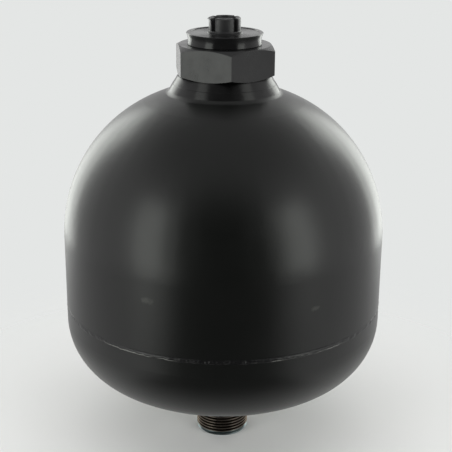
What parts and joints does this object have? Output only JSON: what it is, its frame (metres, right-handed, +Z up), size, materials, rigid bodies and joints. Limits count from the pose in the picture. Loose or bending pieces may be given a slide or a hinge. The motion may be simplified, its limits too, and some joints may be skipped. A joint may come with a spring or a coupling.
{
  "type": "bladder accumulator",
  "caption": "Welded steel bladder accumulator: domed black vessel on a threaded oil port, with a hexagon nut, rimmed valve disc and castellated cap on top.",
  "frame": {"origin": "on the vessel's axis, in the end face of the oil port's threaded stub", "axes": "+Z up along the vessel's axis, from the oil port to the gas valve; -Y is the side seen from the front"},
  "size_m": [0.1974, 0.1974, 0.2687],
  "materials": {
    "black_paint": "satin",
    "oxided_steel": "satin",
    "turned_steel": "satin",
    "nitrile_rubber": "matte",
    "valve_brass": "satin",
    "black_plastic": "satin",
    "seal_plastic": "matte"
  },
  "bodies": {
    "vessel": {"upper_shell": "black_paint", "lower_shell": "black_paint", "girth_weld": "black_paint", "neck_boss": "black_paint", "neck_weld": "black_paint", "port_fitting": "oxided_steel", "port_weld": "oxided_steel", "lock_nut": "oxided_steel", "bladder_stem": "oxided_steel", "poppet_guide": "oxided_steel", "valve_carrier": "turned_steel", "guide_retaining_ring": "turned_steel", "poppet_spring": "turned_steel", "valve_core_spring": "turned_steel", "bladder": "nitrile_rubber", "stem_oring": "nitrile_rubber", "carrier_oring": "nitrile_rubber", "cap_seal": "nitrile_rubber", "gas_valve_body": "valve_brass", "valve_core": "valve_brass", "valve_cap": "black_plastic", "valve_core_seal": "seal_plastic"},
    "poppet": {"poppet": "turned_steel", "poppet_washer": "turned_steel", "poppet_nut": "turned_steel"},
    "valve_pin": {"valve_pin": "valve_brass"}
  },
  "joints": [
    {"name": "poppet_slide", "type": "slide", "parent": "vessel", "child": "poppet", "axis": [0, 0, 1], "range_m": [-0.007, 0], "stiffness_N_per_m": 1500, "springref_m": 0.005, "deforming": ["poppet_spring"]},
    {"name": "valve_pin_slide", "type": "slide", "parent": "vessel", "child": "valve_pin", "axis": [0, 0, 1], "range_m": [-0.0012, 0], "stiffness_N_per_m": 300, "springref_m": 0.003, "deforming": ["valve_core_spring"]}
  ]
}
